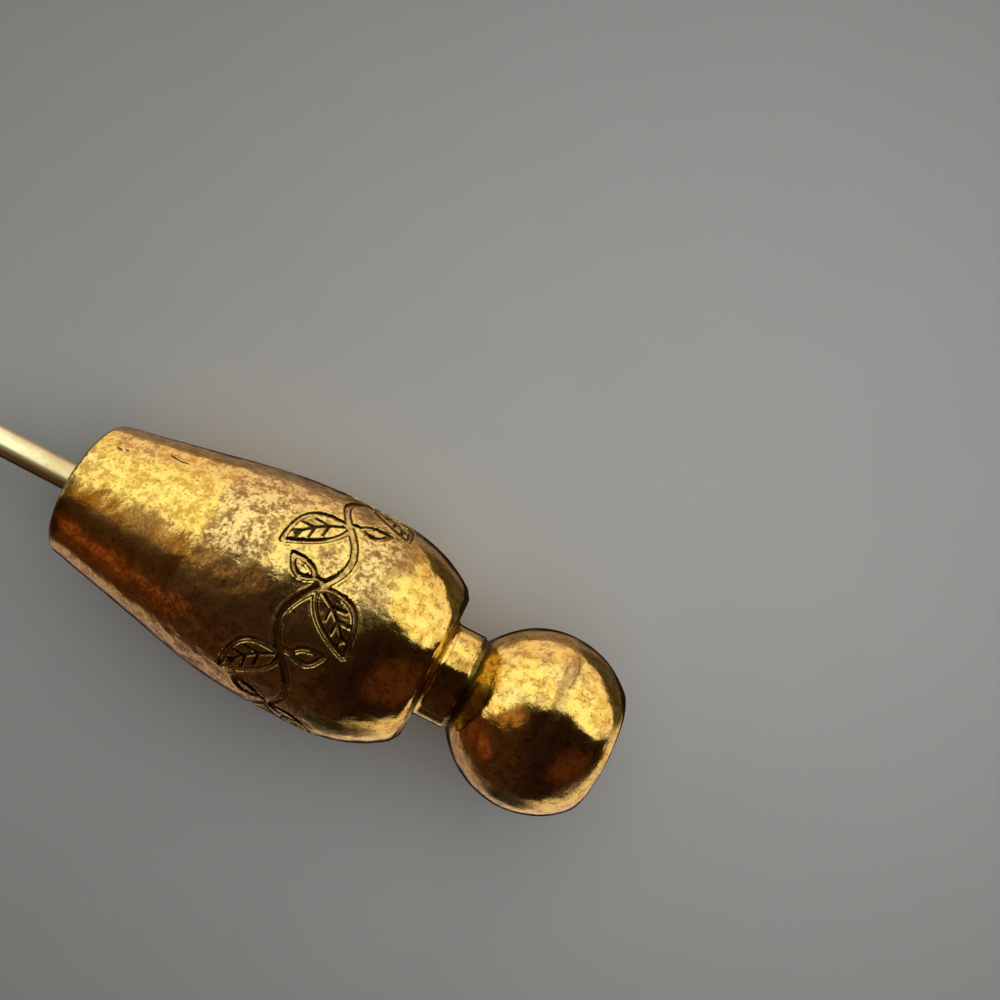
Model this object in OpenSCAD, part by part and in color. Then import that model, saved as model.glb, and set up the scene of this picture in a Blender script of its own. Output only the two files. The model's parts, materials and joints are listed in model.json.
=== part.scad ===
// Stick pin: a turned brass head with a barrel, a neck and a ball, on a straight sharpened wire.
// It lies on its side on the plane z = 0, on the barrel's belly and the lower end of the wire.
// +X points from the wire towards the ball, and the origin is under the middle of the pin.
// The pieces are drawn upright about the pin's own axis, with the barrel's wire end at height 0.

/* [Barrel] */
// Length of the barrel, from its wire end to its ball end
barrel_len = 13.4; // [11.8:0.1:20]
// Diameter of the barrel's wire end
mouth_d = 4.86; // [3.1:0.02:7.2]
// Diameter of the belly, the widest stretch of the barrel
belly_d = 7.8; // [6.8:0.1:9.4]
// Length of the belly's straight stretch
belly_len = 1.8; // [0.4:0.1:3.4]
// Radius of the long curve between the straight flank and the belly
flank_r = 15.2; // [6:0.2:23]
// Length of the shoulder, from the belly to the barrel's ball end
shoulder_len = 3.2; // [1.6:0.1:4.8]
// Diameter of the barrel's ball end, at the start of its bevel
face_d = 5.84; // [4.9:0.02:7.4]
// Length of the bevel around the ball end, along the axis
face_bevel_len = 0.22; // [0.05:0.01:0.6]
// Width of the bevel around the ball end, across the axis
face_bevel_w = 0.32; // [0.05:0.01:0.45]
// Bevel around the wire end
mouth_bevel = 0.12; // [0.04:0.01:0.4]

/* [Neck] */
// Diameter of the neck
neck_d = 3.46; // [2.4:0.02:4.8]
// Length of the neck, from the barrel to the ball
neck_len = 1.3; // [0.6:0.1:4]

/* [Ball] */
// Diameter of the ball
ball_d = 6.38; // [5.2:0.02:9]
// Height that is cut off the ball at its flat end
ball_cut = 0.73; // [0.2:0.01:1.4]
// Radius of the rounded edge around the flat end
ball_edge_r = 0.9; // [0.2:0.05:1.6]

/* [Pin wire] */
// Diameter of the wire
wire_d = 1; // [0.6:0.05:1.6]
// Length of the wire outside the head, with its point
wire_out = 55; // [40:1:90]
// Length of the wire's tapered seat inside the head
seat_len = 5; // [2:0.1:9]
// How much narrower the seat's inner end is than the wire
seat_taper = 0.16; // [0.02:0.02:0.4]
// Length of the sharpened point
point_len = 5; // [2:0.1:12]
// Radius of the rounded tip of the point
tip_r = 0.06; // [0.02:0.01:0.2]

/* [Fit] */
// Radial clearance between the wire's seat and its hole
seat_clear = 0.02; // [0.01:0.01:0.1]
// Gap between the seat's inner end and the floor of its hole
seat_end_gap = 0.2; // [0.05:0.05:1]

/* [Hidden] */
$fn = 128;

mouth_r = mouth_d / 2;
belly_r = belly_d / 2;
face_r = face_d / 2;
neck_r = neck_d / 2;
ball_r = ball_d / 2;
wire_r = wire_d / 2;
seat_end_r = (wire_d - seat_taper) / 2;

belly_to = barrel_len - shoulder_len;
belly_from = belly_to - belly_len;
bevel_from = barrel_len - face_bevel_len;

// The shoulder's curve leaves the belly straight and passes through the edge of the ball end
shoulder_rise = belly_r - face_r;
shoulder_run = bevel_from - belly_to;
shoulder_r = (shoulder_run * shoulder_run + shoulder_rise * shoulder_rise) / (2 * shoulder_rise);

// The straight flank starts at the wire end's edge and runs at a tangent into the flank's curve
flank_centre = [belly_r - flank_r, belly_from];
flank_start = [mouth_r, mouth_bevel];
flank_reach = norm(flank_centre - flank_start);
flank_run = sqrt(flank_reach * flank_reach - flank_r * flank_r);
flank_angle = atan2(flank_centre[0] - flank_start[0], flank_centre[1] - flank_start[1])
    + asin(flank_r / flank_reach);
flank_end = flank_start + flank_run * [sin(flank_angle), cos(flank_angle)];

// The ball starts where its sphere is as wide as the neck, and its edge curve touches sphere and flat
ball_z = barrel_len + neck_len + sqrt(ball_r * ball_r - neck_r * neck_r);
ball_top = ball_z + ball_r - ball_cut;
edge_rise = ball_r - ball_cut - ball_edge_r;
edge_x = sqrt(pow(ball_r - ball_edge_r, 2) - edge_rise * edge_rise);
edge_z = ball_z + edge_rise;

// A pin that lies down touches the plane with its flank's curve and with one end of the wire's point
function lying_tilt(x, r) =
    let (run = belly_from - x, rise = flank_r - belly_r + r)
    asin(flank_r / norm([run, rise])) - atan2(rise, run);
tip_x = tip_r - wire_out;
rest_tilt = min(lying_tilt(point_len - wire_out, wire_r), lying_tilt(tip_x, tip_r));
rest_lift = flank_r - belly_from * sin(rest_tilt) - (flank_r - belly_r) * cos(rest_tilt);
low_x = tip_x * cos(rest_tilt) - tip_r;
high_x = edge_z * cos(rest_tilt) + edge_x * sin(rest_tilt) + ball_edge_r;

module barrel_outline() {
    polygon([
        [0, 0],
        [mouth_r - mouth_bevel, 0],
        flank_start,
        flank_end,
        [0, flank_end[1]]
    ]);
    intersection() {
        translate(flank_centre) circle(flank_r);
        translate([0, flank_end[1]]) square([belly_d, belly_from - flank_end[1]]);
    }
    translate([0, belly_from]) square([belly_r, belly_len]);
    intersection() {
        translate([belly_r - shoulder_r, belly_to]) circle(shoulder_r);
        translate([0, belly_to]) square([belly_d, shoulder_run]);
    }
    polygon([
        [0, bevel_from],
        [face_r, bevel_from],
        [face_r - face_bevel_w, barrel_len],
        [0, barrel_len]
    ]);
}

module neck_outline() {
    translate([0, bevel_from]) square([neck_r, ball_z - bevel_from]);
}

module ball_outline() {
    intersection() {
        translate([0, ball_z]) circle(ball_r);
        polygon([
            [0, ball_z],
            [0, ball_z] + ball_d * [edge_x, edge_rise] / norm([edge_x, edge_rise]),
            [ball_d, ball_z - ball_d],
            [0, ball_z - ball_d]
        ]);
    }
    polygon([
        [0, ball_z],
        [edge_x, edge_z],
        [edge_x, ball_top],
        [0, ball_top]
    ]);
    translate([edge_x, edge_z]) intersection() {
        circle(ball_edge_r);
        square(ball_edge_r);
    }
}

// Blind hole for the wire's seat, with the same taper
module seat_hole() {
    mouth_wide = wire_r + seat_taper / 2 + seat_clear;
    floor_wide = seat_end_r + seat_clear;
    translate([0, 0, -seat_len]) cylinder(r1 = mouth_wide, r2 = floor_wide, h = 2 * seat_len);
    cylinder(r = floor_wide, h = seat_len + seat_end_gap);
}

// Lays an upright piece down on the plane z = 0, as the whole pin rests there
module lie_down() {
    translate([-(low_x + high_x) / 2, 0, rest_lift])
        rotate([0, 90 - rest_tilt, 0])
            children();
}

module head() {
    color("darkgoldenrod") lie_down() difference() {
        rotate_extrude() {
            barrel_outline();
            neck_outline();
            ball_outline();
        }
        seat_hole();
    }
}

module pin_wire() {
    color("khaki") lie_down() {
        cylinder(r1 = wire_r, r2 = seat_end_r, h = seat_len);
        translate([0, 0, point_len - wire_out]) cylinder(r = wire_r, h = wire_out - point_len);
        translate([0, 0, tip_x]) cylinder(r1 = tip_r, r2 = wire_r, h = point_len - tip_r);
        translate([0, 0, tip_x]) sphere(r = tip_r);
    }
}

head();
pin_wire();
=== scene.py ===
"""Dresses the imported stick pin: a tarnished gilt head with an engraved border, on a pale brass wire."""
import json
import logging
import math
from dataclasses import dataclass, field
from enum import Enum
from functools import partial, reduce

import bpy
import numpy as np
from mathutils import Euler, Matrix, Vector


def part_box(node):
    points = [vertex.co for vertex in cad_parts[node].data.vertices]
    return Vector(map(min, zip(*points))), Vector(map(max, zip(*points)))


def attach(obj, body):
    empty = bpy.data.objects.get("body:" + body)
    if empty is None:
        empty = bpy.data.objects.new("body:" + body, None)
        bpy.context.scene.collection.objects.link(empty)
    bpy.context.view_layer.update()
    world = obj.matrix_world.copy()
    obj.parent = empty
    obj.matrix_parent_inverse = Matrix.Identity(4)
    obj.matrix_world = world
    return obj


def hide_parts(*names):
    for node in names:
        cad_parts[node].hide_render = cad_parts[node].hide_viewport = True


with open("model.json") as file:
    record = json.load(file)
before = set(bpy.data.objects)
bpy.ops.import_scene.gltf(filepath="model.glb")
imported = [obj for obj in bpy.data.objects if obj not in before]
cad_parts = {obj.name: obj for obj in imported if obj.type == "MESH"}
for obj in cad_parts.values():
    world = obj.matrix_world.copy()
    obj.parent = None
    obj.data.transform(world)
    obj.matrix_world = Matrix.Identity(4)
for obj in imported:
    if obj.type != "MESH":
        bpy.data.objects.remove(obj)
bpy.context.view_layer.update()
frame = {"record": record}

LOG = logging.getLogger("stick_pin")
MM = 0.001
BODY = "root"
UPRIGHT = Vector((0.0, 0.0, 1.0))
SAME_PLACE = 1e-4
LEAST_SHARE = 1e-3
FAR_AWAY = 10.0

Socket = bpy.types.NodeSocket
Colour = tuple[float, float, float]
Point = tuple[float, float]
Outline = list[Point]
# Where a stretch or a rise starts and ends
Stretch = tuple[float, float]
# The strength of a bump, and its depth in millimetres
Relief = tuple[float, float]
# Where a ramp starts and ends and, unless they are 0 and 1, what it gives there
Ramp = tuple[float, ...]
# Cycles in a millimetre, how many finer layers there are, and how strong they are
Noise = tuple[float, float, float]


class Slot(Enum):
    """The record's material slots."""

    AGED = "aged_brass"
    BRIGHT = "bright_brass"


class Cut(Enum):
    """What the graver leaves on the surface, each kept as a share for every point of the mesh."""

    GROOVE = "groove"
    BURR = "burr"


def clear_selection() -> None:
    """Leaves no object selected."""
    bpy.ops.object.select_all(action="DESELECT")


def smooth_share(value: np.ndarray, start: float, end: float) -> np.ndarray:
    """Rises smoothly from 0 to 1 as a value goes from start to end.

    Args:
        value: The values to read.
        start: Where the rise begins.
        end: Where it has reached 1; it may be less than start.

    Returns:
        A share between 0 and 1 for each value.
    """
    share = np.clip((value - start) / (end - start), 0.0, 1.0)
    return share * share * (3.0 - 2.0 * share)


@dataclass(frozen=True)
class PinAxis:
    """The pin's own axis, from the middle of the head's wire end towards the ball."""

    origin: Vector
    direction: Vector
    wire_r: float

    @classmethod
    def from_record(cls, record: dict) -> "PinAxis":
        """Reads the axis from the mount on the wire.

        Args:
            record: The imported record.

        Returns:
            The axis, in metres, with the wire's radius in millimetres.
        """
        mount = next(m for m in record["mounts"] if m["kind"] == "pin")
        to_point = Vector(mount["axis"]).normalized()
        middle = Vector(mount["pos_m"])
        sizes = mount["dims"]
        origin = middle - to_point * sizes["length_mm"] * MM / 2
        return cls(origin, -to_point, sizes["r_mm"])

    @property
    def turn(self) -> Euler:
        """The turn that lays an upright piece down along the axis."""
        return UPRIGHT.rotation_difference(self.direction).to_euler()

    def place(self) -> Matrix:
        """Takes an upright piece in millimetres to its place in the frame."""
        return Matrix.Translation(self.origin) @ self.turn.to_matrix().to_4x4() @ Matrix.Scale(MM, 4)

    def lay_down(self, piece: bpy.types.Object, smooth_deg: float) -> None:
        """Lays an upright piece down in its place, and shades its faces smooth.

        Args:
            piece: The piece, upright and in millimetres.
            smooth_deg: The widest angle between two faces that look like one surface.
        """
        clear_selection()
        piece.select_set(True)
        bpy.context.view_layer.objects.active = piece
        piece.matrix_world = self.place()
        bpy.ops.object.transform_apply(location=True, rotation=True, scale=True)
        bpy.ops.object.shade_smooth_by_angle(angle=math.radians(smooth_deg))


def upright_point(along: float, reach: float, turn_deg: float) -> Vector:
    """Gives a point of the upright piece.

    Args:
        along: Distance from the wire end towards the ball, in millimetres.
        reach: Distance from the axis, in millimetres.
        turn_deg: Turn about the axis, 0 at the top of the lying pin.

    Returns:
        The point, in millimetres.
    """
    turn = math.radians(turn_deg)
    return Vector((-reach * math.cos(turn), -reach * math.sin(turn), along))


class ShaderGraph:
    """Adds the nodes of one shader and links them."""

    def __init__(self, tree: bpy.types.NodeTree) -> None:
        """Empties the node tree, to fill it anew."""
        tree.nodes.clear()
        self.tree = tree

    @classmethod
    def start(cls, name: str) -> tuple[bpy.types.Material, "ShaderGraph"]:
        """Starts a material.

        Args:
            name: The material's name.

        Returns:
            The material, and the graph of its shader.
        """
        material = bpy.data.materials.new(name)
        material.use_nodes = True
        return material, cls(material.node_tree)

    def finish(self, surface: dict) -> None:
        """Adds the surface's shader, with what its sockets take, and the material's output."""
        shader = self.add("ShaderNodeBsdfPrincipled", surface)
        self.add("ShaderNodeOutputMaterial", {"Surface": shader.outputs[0]})

    def add(self, kind: str, inputs: dict | None = None, **settings: object) -> bpy.types.Node:
        """Adds a node.

        Args:
            kind: The node's type name.
            inputs: Sockets and the value of each, or the socket that feeds it.
            settings: The node's own properties.

        Returns:
            The new node.
        """
        node = self.tree.nodes.new(kind)
        for name, value in settings.items():
            setattr(node, name, value)
        for name, value in (inputs or {}).items():
            if isinstance(value, Socket):
                self.tree.links.new(value, node.inputs[name])
            else:
                node.inputs[name].default_value = value
        return node

    def math(self, operation: str, *values: object) -> Socket:
        """Adds a Math node on the values and returns its result."""
        return self.add("ShaderNodeMath", dict(enumerate(values)), operation=operation).outputs[0]

    def vector(self, operation: str, *values: object) -> Socket:
        """Adds a Vector Math node on the values and returns its vector."""
        return self.add("ShaderNodeVectorMath", dict(enumerate(values)), operation=operation).outputs[0]

    def dot(self, first: Socket, second: Vector) -> Socket:
        """Returns the dot product of a vector socket and a fixed vector."""
        inputs = {0: first, 1: tuple(second)}
        return self.add("ShaderNodeVectorMath", inputs, operation="DOT_PRODUCT").outputs["Value"]

    def distance(self, first: Socket, second: Vector) -> Socket:
        """Returns the distance from a vector socket to a fixed point."""
        inputs = {0: first, 1: tuple(second)}
        return self.add("ShaderNodeVectorMath", inputs, operation="DISTANCE").outputs["Value"]

    def product(self, *values: object) -> Socket:
        """Multiplies the values, one after another."""
        return reduce(partial(self.math, "MULTIPLY"), values)

    def total(self, *values: object) -> Socket:
        """Adds the values up, one after another."""
        return reduce(partial(self.math, "ADD"), values)

    def highest(self, *values: object) -> Socket:
        """Gives the highest of the values."""
        return reduce(partial(self.math, "MAXIMUM"), values)

    def scaled(self, value: object, factor: object, base: object) -> Socket:
        """Gives a value times a factor, plus a base."""
        return self.math("MULTIPLY_ADD", value, factor, base)

    def ramp(self, value: Socket, start: float, end: float, low: float = 0.0, high: float = 1.0) -> Socket:
        """Maps a value smoothly from one range to another.

        Args:
            value: The socket to read.
            start: Its value at the low end.
            end: Its value at the high end.
            low: The result at the low end.
            high: The result at the high end.

        Returns:
            The mapped value.
        """
        inputs = {"Value": value, "From Min": start, "From Max": end, "To Min": low, "To Max": high}
        return self.add("ShaderNodeMapRange", inputs, interpolation_type="SMOOTHSTEP").outputs["Result"]

    def blend(self, share: object, first: object, second: object) -> Socket:
        """Mixes two colours.

        Args:
            share: The second colour's share, or its socket.
            first: The colour at 0.
            second: The colour at 1.

        Returns:
            The mixed colour.
        """
        node = self.add("ShaderNodeMix", {0: share}, data_type="RGBA")
        for index, colour in ((6, first), (7, second)):
            if isinstance(colour, Socket):
                self.tree.links.new(colour, node.inputs[index])
            else:
                node.inputs[index].default_value = (*colour, 1.0)
        return node.outputs[2]

    def noise(self, place: Socket, scale: float, detail: float, roughness: float) -> Socket:
        """Adds a noise pattern.

        Args:
            place: The coordinates to read.
            scale: Cycles for each unit of the coordinates.
            detail: How many finer layers it has.
            roughness: How strong the finer layers are.

        Returns:
            The pattern, around 0.5.
        """
        inputs = {"Vector": place, "Scale": scale, "Detail": detail, "Roughness": roughness}
        return self.add("ShaderNodeTexNoise", inputs).outputs["Fac"]

    def bump(self, height: Socket, strength: float, depth: float, **inputs: Socket) -> Socket:
        """Gives a normal that is tilted by a height, up to a depth in millimetres."""
        inputs |= {"Height": height, "Strength": strength, "Distance": depth * MM}
        return self.add("ShaderNodeBump", inputs).outputs["Normal"]

    def pin_coordinates(self, axis: PinAxis) -> Socket:
        """Gives the upright piece's coordinates, in millimetres, from the object's own.

        Args:
            axis: The pin's axis.

        Returns:
            The coordinates' socket.
        """
        own = self.add("ShaderNodeTexCoord").outputs["Object"]
        inputs = {"Vector": own, "Location": axis.origin, "Rotation": axis.turn, "Scale": (MM, MM, MM)}
        return self.add("ShaderNodeMapping", inputs, vector_type="TEXTURE").outputs["Vector"]


@dataclass(frozen=True)
class Stain:
    """A patch of darker tarnish on the head, or with a share below 0 a rubbed one."""

    along: float
    reach: float
    turn_deg: float
    spread: float
    share: float
    core: float = 0.35

    @property
    def middle(self) -> Vector:
        """The stain's middle."""
        return upright_point(self.along, self.reach, self.turn_deg)


@dataclass(frozen=True)
class Scratch:
    """A fine dark scratch on the head, between two places given as distance along and turn."""

    start: tuple[float, float]
    end: tuple[float, float]
    width: float
    share: float = 0.9
    reach: float = 3.0

    @property
    def ends(self) -> tuple[Vector, Vector]:
        """The scratch's two ends, on a cylinder of its reach."""
        return tuple(upright_point(along, self.reach, turn) for along, turn in (self.start, self.end))

    @property
    def length(self) -> float:
        """The scratch's length."""
        return (self.ends[1] - self.ends[0]).length

    def slack(self, width: float) -> float:
        """Gives how much longer the way round by a point at half the width is than the scratch."""
        return math.hypot(self.length, width) - self.length

    @property
    def fade(self) -> Ramp:
        """The ramp of that slack, from the scratch's edge to half way in."""
        return self.slack(self.width), self.slack(self.width / 2), 0.0, self.share


@dataclass(frozen=True)
class Ring:
    """A stretch of the head along the axis, with the length over which it fades in and out."""

    start: float
    end: float
    fade_in: float
    fade_out: float
    share: float


@dataclass(frozen=True)
class AgedGilt:
    """Old gilding over brass: bright where it is rubbed, brown and speckled where it has tarnished."""

    bright: Colour = (0.91, 0.69, 0.172)
    deep: Colour = (0.74, 0.445, 0.08)
    pale: Colour = (0.84, 0.66, 0.32)
    olive: Colour = (0.44, 0.25, 0.045)
    brown: Colour = (0.25, 0.125, 0.042)
    grime_and_shade: Colour = (0.026, 0.012, 0.005)
    face: float = 13.4
    dull_and_shade_rings: tuple[Ring, ...] = (
        Ring(4.95, 10.9, 0.22, 0.5, 0.52),
        # Partly tarnish, partly painted shade: the ball's ring darkens where the ball mirrors the window's
        # bar.
        Ring(17.26, 17.44, 0.15, 0.2, 0.5),
    )
    # Painted shade: dark rings at the foot of the bevel beside the neck, in the crease where the neck meets
    # the ball, and on the face round where the wire goes in.
    painted_shade_rings: tuple[Ring, ...] = (
        Ring(13.27, 13.35, 0.05, 0.03, 0.75),
        Ring(14.52, 14.76, 0.10, 0.08, 0.8),
        Ring(-0.2, 0.10, 0.1, 0.06, 0.9),
    )
    # Dark spots round the rim of the wire end.
    wire_end_spots: tuple[Stain, ...] = (
        Stain(0.0, 2.4, -4.0, 0.55, 0.8),
        Stain(0.05, 2.4, 12.0, 0.65, 0.85),
        Stain(0.05, 2.4, 28.0, 0.65, 0.85),
        Stain(0.0, 2.4, 42.0, 0.5, 0.8),
        Stain(0.0, 2.4, 178.0, 0.9, 0.8),
    )
    scratches: tuple[Scratch, ...] = (
        Scratch((2.40, -56.6), (2.82, -53.4), 0.10, 1.0),
        Scratch((2.76, -53.6), (3.18, -53.4), 0.09, 1.0),
        Scratch((0.80, -46.8), (1.0, -45.4), 0.19, 0.85),
        Scratch((1.08, -47.6), (1.2, -46.2), 0.13, 0.8),
        Scratch((3.3, 64.0), (3.7, 68.0), 0.08),
        Scratch((11.6, 150.0), (12.3, 157.0), 0.09),
        Scratch((4.4, 214.0), (5.4, 209.0), 0.09),
        Scratch((17.0, 244.0), (17.9, 238.0), 0.08),
        Scratch((17.45, -62.0), (17.6, -48.0), 0.13, 0.4),
        Scratch((17.6, -48.0), (17.48, -34.0), 0.13, 0.4),
    )
    stains: tuple[Stain, ...] = (
        Stain(5.8, 3.6, -46.0, 1.5, 0.35),
        Stain(6.2, 3.7, 2.0, 1.7, 0.5),
        Stain(6.0, 3.6, -20.0, 1.3, 0.45),
        Stain(8.6, 3.9, 8.0, 1.9, 0.4),
        Stain(10.4, 3.9, -52.0, 1.1, 0.55),
        Stain(2.2, 2.9, -2.0, 1.5, 0.4),
        Stain(3.6, 3.2, -4.0, 1.3, 0.4),
        Stain(1.0, 2.7, -72.0, 1.2, 0.3),
        Stain(17.3, 3.1, -44.0, 0.8, 0.35),
        Stain(17.0, 3.1, 30.0, 1.7, 0.4),
        Stain(6.8, 3.8, 118.0, 2.2, 0.5),
        Stain(3.0, 3.0, 170.0, 1.8, 0.5),
        Stain(10.6, 3.9, 205.0, 2.1, 0.45),
        Stain(5.0, 3.5, 262.0, 1.9, 0.4),
        Stain(17.6, 3.1, 190.0, 1.9, 0.5),
        Stain(1.8, 2.8, -22.0, 1.6, -0.5),
        Stain(4.0, 3.3, -30.0, 1.4, -0.35),
        Stain(7.6, 3.8, -32.0, 1.2, -0.25),
        Stain(12.2, 3.4, -35.0, 1.5, -0.6),
        Stain(16.2, 3.1, -35.0, 1.2, -0.5),
        Stain(18.6, 2.8, -38.0, 1.0, -0.5),
    )
    cloud_noise: Noise = (0.62, 4.0, 0.62)
    mottle_noise: Noise = (2.7, 3.0, 0.62)
    grain_noise: Noise = (8.5, 2.0, 0.6)
    dot_noise: Noise = (5.2, 2.0, 0.5)
    swell_noise: Noise = (1.15, 1.0, 0.5)
    ground: Ramp = (0.44, 0.70, 0.0, 0.6)
    stain_shake: float = 2.4
    ring_shake: float = 0.4 / 0.3
    painted_shade_shake: float = 0.3
    net: Ramp = (0.45, 0.61)
    net_mottle: float = 0.62
    specks: Ramp = (0.50, 0.61)
    speck_mottle: float = 0.4
    more_specks: float = 0.05
    mouth_specks: Ramp = (4.6, 5.6, 0.035, 0.0)
    clean_ball: Ramp = (10.6, 11.6, 1.0, 0.42)
    dots: Ramp = (0.65, 0.71, 0.0, 0.75)
    crack_shake: float = 1.8
    crack_cells: float = 2.0
    cracks: Ramp = (0.065, 0.0, 0.0, 0.7)
    cracks_along: Ramp = (9.5, 12.0, 0.12, 1.0)
    cracks_mottle: Ramp = (0.40, 0.56)
    groove_wall: Ramp = (0.02, 0.2, 0.0, 0.92)
    deep_gold: Ramp = (0.38, 0.66)
    pale_share: float = 0.6
    speck_share: float = 0.62
    net_share: float = 0.84
    burr_share: float = 0.55
    groove_share: float = 0.3
    roughness: float = 0.105
    tarnish_rough: float = 0.10
    speck_rough: float = 0.06
    net_rough: float = 0.16
    soot_and_shade_rough: float = 0.22
    face_rough: Ramp = (0.03, 0.01, 0.0, 0.3)
    smooth_ball: Ramp = (10.2, 11.2, 0.75, 0.34)
    smooth_mouth: Ramp = (3.6, 5.8, 0.36, 1.0)
    mottle_height: float = 1.7
    grain_height: float = 0.1
    swell_height: float = 5.8
    relief: Relief = (0.6, 0.03)

    def build(self, axis: PinAxis) -> bpy.types.Material:
        """Makes the material.

        Args:
            axis: The pin's axis, which the pattern follows.

        Returns:
            The finished material.
        """
        material, graph = ShaderGraph.start("aged_gilt")
        pattern = GiltPattern(graph, axis, self)
        graph.finish({"Base Color": pattern.colour(), "Metallic": 1.0, "Roughness": pattern.roughness(),
                      "Normal": pattern.normal()})
        return material


class GiltPattern:
    """The pattern of the aged gilding, as sockets of its shader."""

    def __init__(self, graph: ShaderGraph, axis: PinAxis, gilt: AgedGilt) -> None:
        """Reads each point's place on the pin, and works out what covers it.

        Args:
            graph: The shader's graph.
            axis: The pin's axis, which the pattern follows.
            gilt: The finish.
        """
        self.graph = graph
        self.gilt = gilt
        self.place = graph.pin_coordinates(axis)
        self.along = graph.dot(self.place, UPRIGHT)
        self.cloud = graph.noise(self.place, *gilt.cloud_noise)
        self.mottle = graph.noise(self.place, *gilt.mottle_noise)
        self.grain = graph.noise(self.place, *gilt.grain_noise)
        self.groove, self.burr = (
            graph.add("ShaderNodeAttribute", attribute_name=cut.value).outputs["Fac"] for cut in Cut)
        self.tarnish = self.tarnish_share()
        self.clean = graph.ramp(self.along, *gilt.clean_ball)
        self.net = graph.product(self.tarnish, self.clean, graph.ramp(self.spots(gilt.net_mottle), *gilt.net))
        self.specks = self.speck_share()
        self.soot_and_shade = self.soot_and_shade_share()

    def spots(self, mottle_share: float) -> Socket:
        """Mixes the mottle and the finer grain."""
        fine = self.graph.product(self.grain, 1.0 - mottle_share)
        return self.graph.scaled(self.mottle, mottle_share, fine)

    def ring_share(self, ring: Ring, along: Socket) -> Socket:
        """Gives a ring's share at a distance along the axis, faded at both ends."""
        rise = self.graph.ramp(along, ring.start - ring.fade_in, ring.start, 0.0, ring.share)
        return self.graph.product(rise, self.graph.ramp(along, ring.end + ring.fade_out, ring.end))

    def stain_share(self, stain: Stain, ragged: Socket) -> Socket:
        """Gives a stain's share, with its edge moved by a ragged distance."""
        gap = self.graph.total(self.graph.distance(self.place, stain.middle), ragged)
        return self.graph.ramp(gap, stain.spread, stain.spread * stain.core, 0.0, stain.share)

    def tarnish_share(self) -> Socket:
        """Adds up the clouded ground, the dull rings and the ragged stains; the ring on the ball is partly
        painted shade.

        Returns:
            The share of tarnish, between 0 and 1.
        """
        graph, gilt = self.graph, self.gilt
        ragged = graph.scaled(self.cloud, gilt.stain_shake, -gilt.stain_shake / 2)
        share = graph.ramp(self.cloud, *gilt.ground)
        for ring in gilt.dull_and_shade_rings:
            shaken = graph.scaled(ragged, gilt.ring_shake * ring.fade_in, self.along)
            share = graph.total(share, self.ring_share(ring, shaken))
        share = graph.total(share, *(self.stain_share(stain, ragged) for stain in gilt.stains))
        return graph.add("ShaderNodeClamp", {"Value": share}).outputs[0]

    def speck_share(self) -> Socket:
        """Gives the fine specks, closer together on tarnish and near the wire end.

        Returns:
            The specks' share.
        """
        graph, gilt = self.graph, self.gilt
        crowd = graph.scaled(self.tarnish, gilt.more_specks, self.spots(gilt.speck_mottle))
        crowd = graph.total(crowd, graph.ramp(self.along, *gilt.mouth_specks))
        return graph.product(graph.ramp(crowd, *gilt.specks), self.clean)

    def soot_and_shade_share(self) -> Socket:
        """Gives the dark patina in the grooves, the painted shade in the corners beside the neck and round
        where the wire goes in, and the dark spots round the wire end.

        Returns:
            The share of the patina, the painted shade and the spots.
        """
        graph, gilt = self.graph, self.gilt
        wall = graph.product(self.groove, graph.math("SUBTRACT", 1.0, self.groove))
        ragged = graph.math("SUBTRACT", self.mottle, 0.5)
        shaken = graph.scaled(ragged, gilt.painted_shade_shake, self.along)
        rings = (self.ring_share(ring, shaken) for ring in gilt.painted_shade_rings)
        spots = (self.stain_share(spot, ragged) for spot in gilt.wire_end_spots)
        return graph.highest(graph.ramp(wall, *gilt.groove_wall), *rings, *spots)

    def scratch_share(self) -> Socket:
        """Gives the scratches, each where the way round by a point is hardly longer than the scratch.

        Returns:
            The scratches' share.
        """
        graph = self.graph
        outward = graph.vector("NORMALIZE", graph.vector("MULTIPLY", self.place, (1.0, 1.0, 0.0)))
        height = graph.vector("MULTIPLY", self.place, (0.0, 0.0, 1.0))
        lines = []
        for scratch in self.gilt.scratches:
            spot = graph.vector("MULTIPLY_ADD", outward, (scratch.reach,) * 3, height)
            round_by = graph.total(*(graph.distance(spot, end) for end in scratch.ends))
            lines.append(graph.ramp(graph.math("SUBTRACT", round_by, scratch.length), *scratch.fade))
        return graph.highest(*lines)

    def crack_share(self) -> Socket:
        """Gives the fine net of wrinkles in the gilding, strongest on the ball and the shoulder.

        Returns:
            The wrinkles' share.
        """
        graph, gilt = self.graph, self.gilt
        shake = graph.add("ShaderNodeTexNoise", {"Vector": self.place, "Scale": gilt.crack_shake})
        shaken = graph.vector("ADD", self.place, shake.outputs["Color"])
        cells = graph.add("ShaderNodeTexVoronoi", {"Vector": shaken, "Scale": gilt.crack_cells},
                          feature="DISTANCE_TO_EDGE")
        return graph.product(graph.ramp(cells.outputs["Distance"], *gilt.cracks),
                             graph.ramp(self.along, *gilt.cracks_along),
                             graph.ramp(self.mottle, *gilt.cracks_mottle))

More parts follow.
